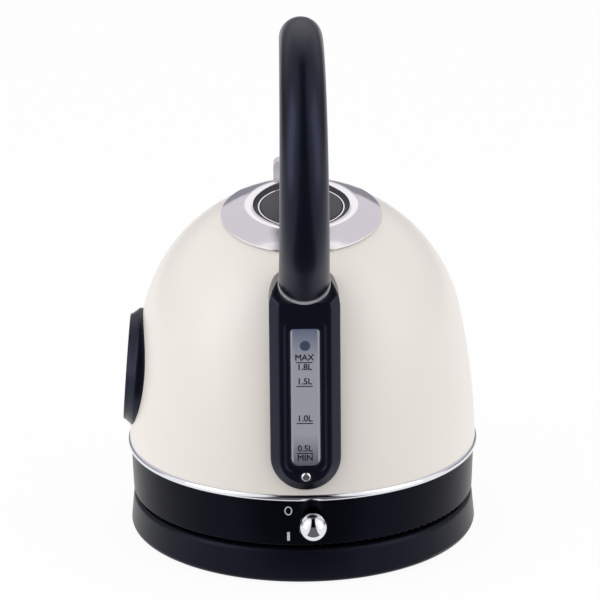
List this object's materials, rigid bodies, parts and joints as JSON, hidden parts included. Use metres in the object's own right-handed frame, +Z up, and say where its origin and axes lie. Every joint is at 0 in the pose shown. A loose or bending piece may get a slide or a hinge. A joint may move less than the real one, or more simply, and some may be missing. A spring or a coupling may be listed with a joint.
{
  "type": "electric kettle",
  "caption": "Cordless electric kettle: domed painted body, arched handle, water level window, side temperature gauge, hinged push-button lid, ball-ended switch and round power base.",
  "frame": {"origin": "centre of the kettle's upright axis, on the surface the base stands on", "axes": "+Z up; +Y towards the spout; -Y towards the handle's root, the water window and the switch; -X towards the temperature gauge"},
  "size_m": [0.202, 0.245, 0.303],
  "materials": {
    "cream_paint": "gloss cream enamel",
    "polished_chrome": "polished",
    "brushed_steel": "satin brushed",
    "plain_steel": "plain zinc-plated",
    "cast_aluminium": "as cast",
    "contact_brass": "bright",
    "black_plastic": "satin black",
    "black_rubber": "matte",
    "grey_rubber": "matte silicone",
    "smoked_window": "smoked, glossy",
    "clear_lens": "clear, glossy",
    "dial_white": "printed matte white",
    "needle_red": "painted"
  },
  "bodies": {
    "base": {"base_housing": "black_plastic", "base_plate": "black_plastic", "base_screws": "plain_steel", "base_foot": "black_rubber", "base_socket": "black_plastic", "socket_contacts": "contact_brass", "inlet_grommet": "black_rubber"},
    "coupler": {"contact_pin": "contact_brass", "contact_ring": "contact_brass"},
    "kettle": {"dome_shell": "cream_paint", "spout": "cream_paint", "trim_ring": "polished_chrome", "heater_plate": "brushed_steel", "floor_seal": "grey_rubber", "heat_spreader": "cast_aluminium", "heating_element": "plain_steel", "steam_tube": "brushed_steel", "skirt": "black_plastic", "bottom_cover": "black_plastic", "cover_screws": "plain_steel", "control_body": "black_plastic", "control_screws": "plain_steel", "bimetal_discs": "plain_steel", "switch_bracket": "plain_steel", "lever_pin": "plain_steel", "switch_surround": "black_plastic", "rear_housing": "black_plastic", "housing_stud": "plain_steel", "housing_screw": "plain_steel", "water_window": "smoked_window", "level_tank": "black_plastic", "port_seals": "grey_rubber", "grip_outer": "black_plastic", "grip_inner": "black_plastic", "handle_core": "plain_steel", "rear_ferrule": "polished_chrome", "front_ferrule": "polished_chrome", "front_bracket": "brushed_steel", "front_screw": "plain_steel", "lid_collar": "brushed_steel", "hinge_pin": "plain_steel", "collar_clamp": "plain_steel", "gauge_case": "black_plastic", "gauge_dial": "dial_white", "gauge_spacer": "black_plastic", "gauge_lens": "clear_lens", "gauge_bezel": "polished_chrome", "gauge_stem": "brushed_steel", "gauge_nut": "plain_steel"},
    "lid": {"lid_cup": "black_plastic", "lid_ring": "polished_chrome", "lid_seal": "grey_rubber", "button_spring": "plain_steel", "lid_catch": "plain_steel"},
    "lid_button": {"lid_button": "black_plastic"},
    "switch_lever": {"lever_arm": "black_plastic", "lever_ball": "polished_chrome"},
    "trip_rod": {"trip_rod": "black_plastic"},
    "needle": {"gauge_needle": "needle_red"}
  },
  "joints": [
    {"name": "kettle_lift", "type": "slide", "parent": "base", "child": "coupler", "axis": [0, 0, 1], "range_m": [0, 0.12]},
    {"name": "kettle_spin", "type": "hinge", "parent": "coupler", "child": "kettle", "pos_m": [0, 0, 0.0325], "axis": [0, 0, 1], "continuous": true},
    {"name": "lid_hinge", "type": "hinge", "parent": "kettle", "child": "lid", "pos_m": [0, -0.04958, 0.19039], "axis": [1, 0, 0], "range_deg": [0, 80], "deforming": ["lid_catch"]},
    {"name": "button_press", "type": "slide", "parent": "lid", "child": "lid_button", "axis": [0, -0.2062, 0.9785], "range_m": [-0.0025, 0], "stiffness_N_per_m": 1000, "deforming": ["button_spring", "lid_catch"]},
    {"name": "switch_tilt", "type": "hinge", "parent": "kettle", "child": "switch_lever", "pos_m": [0.0036, -0.08196, 0.0387], "axis": [1, 0, 0], "range_deg": [0, 20]},
    {"name": "trip_slide", "type": "slide", "parent": "kettle", "child": "trip_rod", "axis": [0, 0, 1], "range_m": [0, 0.0048]},
    {"name": "needle_turn", "type": "hinge", "parent": "kettle", "child": "needle", "pos_m": [-0.09529, -0.00083, 0.0939], "axis": [0.9962, 0.0087, -0.0872], "range_deg": [-48, 192], "stiffness_Nm_per_rad": 0.0002}
  ],
  "couplings": [
    {"joint": "trip_slide", "follows": "switch_tilt", "m_per_rad": 0.0135}
  ]
}
